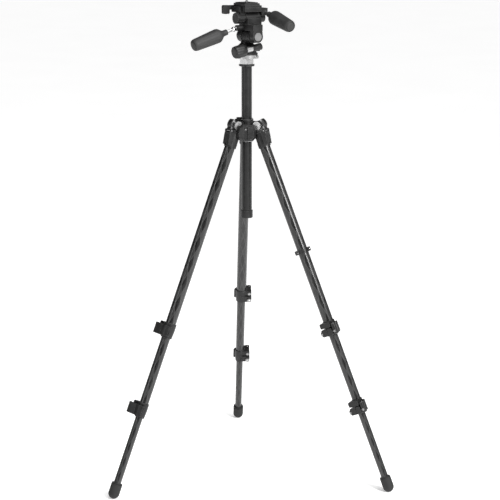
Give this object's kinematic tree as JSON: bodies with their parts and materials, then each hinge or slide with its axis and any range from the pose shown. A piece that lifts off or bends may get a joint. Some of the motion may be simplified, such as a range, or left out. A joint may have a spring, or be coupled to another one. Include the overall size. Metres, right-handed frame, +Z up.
{
  "type": "camera tripod",
  "caption": "Carbon-fibre camera tripod with telescoping legs, flip-lever clamps, sliding column and a pan-and-tilt head with quick-release plate.",
  "frame": {"origin": "middle of the footprint's box, on the floor", "axes": "+Z up along the centre column, +Y towards the foot of the back leg, +X to the right"},
  "size_m": [0.7952, 0.6928, 1.349],
  "materials": {
    "bush": "plain acetal",
    "carbon": "clear-coated woven carbon fibre",
    "cast": "satin black moulded housing",
    "grip": "soft-touch",
    "metal_black": "black powder coat",
    "rubber": "matte",
    "screw_steel": "plain",
    "silver": "bead-blasted and lightly polished",
    "steel": "polished"
  },
  "bodies": {
    "base": {"hub": "metal_black", "hinge_pins": "silver", "column_bushing": "bush"},
    "column_lock": {"column_lock_lever": "cast"},
    "column": {"column_tube": "metal_black", "column_end_cap": "cast", "column_flange": "metal_black", "column_adapter": "silver", "head_plate": "silver"},
    "pan": {"pan_body": "cast", "tilt_axle": "screw_steel"},
    "pan_lock": {"pan_bolt": "silver", "pan_knob": "cast"},
    "tilt": {"tilt_frame": "cast"},
    "tilt_handle": {"tilt_handle_rod": "steel", "tilt_grip": "grip"},
    "side_tilt": {"platform": "cast"},
    "side_handle": {"side_handle_rod": "steel", "side_grip": "grip"},
    "plate_lock": {"plate_lever": "cast"},
    "plate": {"quick_plate": "cast", "plate_pad": "rubber"},
    "screw": {"camera_screw": "screw_steel"},
    "back_leg": {"back_leg_head": "metal_black", "back_upper_tube": "carbon", "back_upper_clamp": "cast", "back_upper_clamp_bolts": "screw_steel"},
    "back_catch": {"back_angle_catch": "silver"},
    "back_upper_lever": {"back_upper_clamp_lever": "cast"},
    "back_middle": {"back_middle_tube": "carbon", "back_lower_clamp": "cast", "back_lower_clamp_bolts": "screw_steel"},
    "back_lower_lever": {"back_lower_clamp_lever": "cast"},
    "back_lower": {"back_lower_tube": "carbon", "back_foot": "rubber"},
    "right_leg": {"right_leg_head": "metal_black", "right_upper_tube": "carbon", "right_upper_clamp": "cast", "right_upper_clamp_bolts": "screw_steel", "right_leg_clip": "metal_black"},
    "right_catch": {"right_angle_catch": "silver"},
    "right_upper_lever": {"right_upper_clamp_lever": "cast"},
    "right_middle": {"right_middle_tube": "carbon", "right_lower_clamp": "cast", "right_lower_clamp_bolts": "screw_steel"},
    "right_lower_lever": {"right_lower_clamp_lever": "cast"},
    "right_lower": {"right_lower_tube": "carbon", "right_foot": "rubber"},
    "left_leg": {"left_leg_head": "metal_black", "left_upper_tube": "carbon", "left_upper_clamp": "cast", "left_upper_clamp_bolts": "screw_steel"},
    "left_catch": {"left_angle_catch": "silver"},
    "left_upper_lever": {"left_upper_clamp_lever": "cast"},
    "left_middle": {"left_middle_tube": "carbon", "left_lower_clamp": "cast", "left_lower_clamp_bolts": "screw_steel"},
    "left_lower_lever": {"left_lower_clamp_lever": "cast"},
    "left_lower": {"left_lower_tube": "carbon", "left_foot": "rubber"}
  },
  "joints": [
    {"name": "column_lock_swing", "type": "hinge", "parent": "base", "child": "column_lock", "pos_m": [-0.01525, -0.09571, 1.021], "axis": [0, 0, 1], "range_deg": [-60, 0]},
    {"name": "column_slide", "type": "slide", "parent": "base", "child": "column", "axis": [0, 0, 1], "range_m": [-0.14, 0.17]},
    {"name": "pan", "type": "hinge", "parent": "column", "child": "pan", "pos_m": [0, -0.11029, 1.2], "axis": [0, 0, 1], "continuous": true},
    {"name": "pan_lock_turn", "type": "hinge", "parent": "pan", "child": "pan_lock", "pos_m": [0.02162, -0.13258, 1.22], "axis": [-0.8622, -0.4819, -0.1564], "continuous": true},
    {"name": "tilt", "type": "hinge", "parent": "pan", "child": "tilt", "pos_m": [0, -0.11029, 1.251], "axis": [-0.4879, 0.8729, 0], "range_deg": [-30, 90]},
    {"name": "tilt_handle_turn", "type": "hinge", "parent": "tilt", "child": "tilt_handle", "pos_m": [-0.03754, -0.13127, 1.27], "axis": [-0.8348, -0.4665, -0.2924], "continuous": true},
    {"name": "side_tilt", "type": "hinge", "parent": "tilt", "child": "side_tilt", "pos_m": [0, -0.11029, 1.2995], "axis": [-0.8729, -0.4879, 0], "range_deg": [-30, 70]},
    {"name": "side_handle_turn", "type": "hinge", "parent": "side_tilt", "child": "side_handle", "pos_m": [0.04845, -0.10269, 1.3155], "axis": [0.4723, -0.8451, -0.2504], "continuous": true},
    {"name": "plate_lock_swing", "type": "hinge", "parent": "side_tilt", "child": "plate_lock", "pos_m": [-0.01107, -0.07409, 1.327], "axis": [0, 0, -1], "range_deg": [0, 55]},
    {"name": "plate_slide", "type": "slide", "parent": "side_tilt", "child": "plate", "axis": [0.4879, -0.8729, 0], "range_m": [0, 0.06]},
    {"name": "screw_turn", "type": "hinge", "parent": "plate", "child": "screw", "pos_m": [0, -0.11029, 1.328], "axis": [0, 0, 1], "continuous": true},
    {"name": "back_leg_spread", "type": "hinge", "parent": "base", "child": "back_leg", "pos_m": [0, -0.07029, 1.00705], "axis": [1, 0, 0], "range_deg": [-22.44, 60]},
    {"name": "back_catch_lift", "type": "hinge", "parent": "back_leg", "child": "back_catch", "pos_m": [0, -0.05158, 0.99422], "axis": [-1, 0, 0], "range_deg": [0, 20]},
    {"name": "back_upper_lever_swing", "type": "hinge", "parent": "back_leg", "child": "back_upper_lever", "pos_m": [0.0245, 0.17135, 0.46202], "axis": [0, 0.3817, -0.9243], "range_deg": [0, 80]},
    {"name": "back_lower_lever_swing", "type": "hinge", "parent": "back_middle", "child": "back_lower_lever", "pos_m": [0.0245, 0.25991, 0.24758], "axis": [0, 0.3817, -0.9243], "range_deg": [0, 80]},
    {"name": "back_middle_slide", "type": "slide", "parent": "back_leg", "child": "back_middle", "axis": [0, 0.3817, -0.9243], "range_m": [-0.186, 0.2]},
    {"name": "back_lower_slide", "type": "slide", "parent": "back_middle", "child": "back_lower", "axis": [0, 0.3817, -0.9243], "range_m": [-0.188, 0.2]},
    {"name": "right_leg_spread", "type": "hinge", "parent": "base", "child": "right_leg", "pos_m": [0.03464, -0.13029, 1.00705], "axis": [-0.5, -0.866, 0], "range_deg": [-22.44, 60]},
    {"name": "right_catch_lift", "type": "hinge", "parent": "right_leg", "child": "right_catch", "pos_m": [0.05085, -0.13965, 0.99422], "axis": [0.5, 0.866, 0], "range_deg": [0, 20]},
    {"name": "right_upper_lever_swing", "type": "hinge", "parent": "right_leg", "child": "right_upper_lever", "pos_m": [0.23166, -0.27233, 0.46202], "axis": [0.3306, -0.1909, -0.9243], "range_deg": [0, 80]},
    {"name": "right_lower_lever_swing", "type": "hinge", "parent": "right_middle", "child": "right_lower_lever", "pos_m": [0.30835, -0.31661, 0.24758], "axis": [0.3306, -0.1909, -0.9243], "range_deg": [0, 80]},
    {"name": "right_middle_slide", "type": "slide", "parent": "right_leg", "child": "right_middle", "axis": [0.3306, -0.1909, -0.9243], "range_m": [-0.186, 0.2]},
    {"name": "right_lower_slide", "type": "slide", "parent": "right_middle", "child": "right_lower", "axis": [0.3306, -0.1909, -0.9243], "range_m": [-0.188, 0.2]},
    {"name": "left_leg_spread", "type": "hinge", "parent": "base", "child": "left_leg", "pos_m": [-0.03464, -0.13029, 1.00705], "axis": [-0.5, 0.866, 0], "range_deg": [-22.44, 60]},
    {"name": "left_catch_lift", "type": "hinge", "parent": "left_leg", "child": "left_catch", "pos_m": [-0.05085, -0.13965, 0.99422], "axis": [0.5, -0.866, 0], "range_deg": [0, 20]},
    {"name": "left_upper_lever_swing", "type": "hinge", "parent": "left_leg", "child": "left_upper_lever", "pos_m": [-0.25616, -0.2299, 0.46202], "axis": [-0.3306, -0.1909, -0.9243], "range_deg": [0, 80]},
    {"name": "left_lower_lever_swing", "type": "hinge", "parent": "left_middle", "child": "left_lower_lever", "pos_m": [-0.33285, -0.27418, 0.24758], "axis": [-0.3306, -0.1909, -0.9243], "range_deg": [0, 80]},
    {"name": "left_middle_slide", "type": "slide", "parent": "left_leg", "child": "left_middle", "axis": [-0.3306, -0.1909, -0.9243], "range_m": [-0.186, 0.2]},
    {"name": "left_lower_slide", "type": "slide", "parent": "left_middle", "child": "left_lower", "axis": [-0.3306, -0.1909, -0.9243], "range_m": [-0.188, 0.2]}
  ]
}
